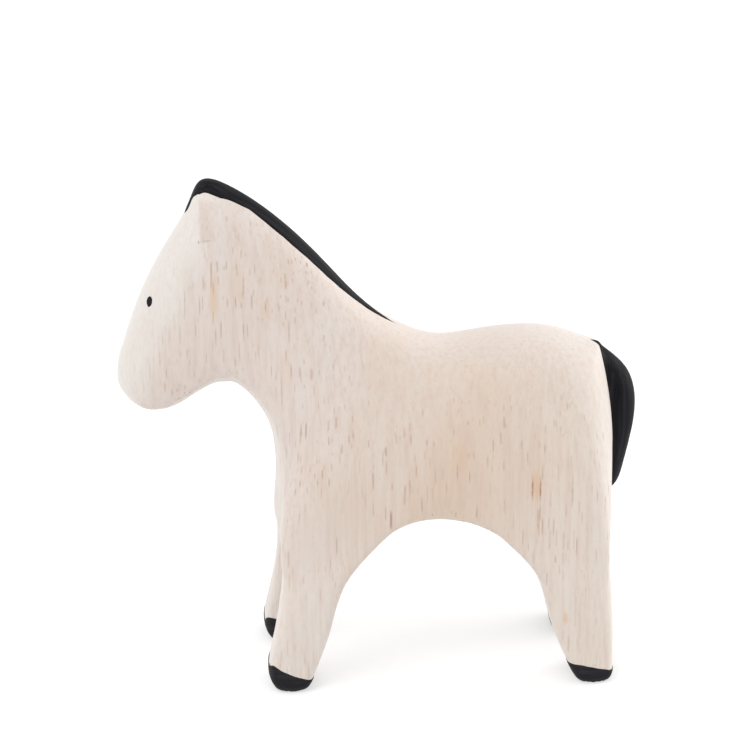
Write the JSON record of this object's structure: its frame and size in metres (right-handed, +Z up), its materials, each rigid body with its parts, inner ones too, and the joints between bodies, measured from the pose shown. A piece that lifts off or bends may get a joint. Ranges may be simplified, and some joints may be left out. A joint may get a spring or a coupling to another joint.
{
  "type": "carved wooden horse",
  "caption": "Small standing horse carved from one block of pale wood, with brushed black mane, tail, hooves and eyes.",
  "frame": {"origin": "middle of the object's box at the level of its soles", "axes": "+X from the muzzle towards the tail, +Y towards the horse's right side, +Z up"},
  "size_m": [0.0862, 0.0294, 0.0853],
  "materials": {
    "pale_wood": "whitewashed open-pored hardwood, grain upright, smooth knife-cut and sanded surface",
    "black_paint": "matt black paint laid on by brush, thin enough for the grain to show through a little"
  },
  "bodies": {
    "root": {"carved_body": "pale_wood", "mane_paint": "black_paint", "tail_paint": "black_paint", "left_eye_paint": "black_paint", "right_eye_paint": "black_paint", "front_left_hoof_paint": "black_paint", "front_right_hoof_paint": "black_paint", "rear_left_hoof_paint": "black_paint", "rear_right_hoof_paint": "black_paint"}
  },
  "joints": []
}
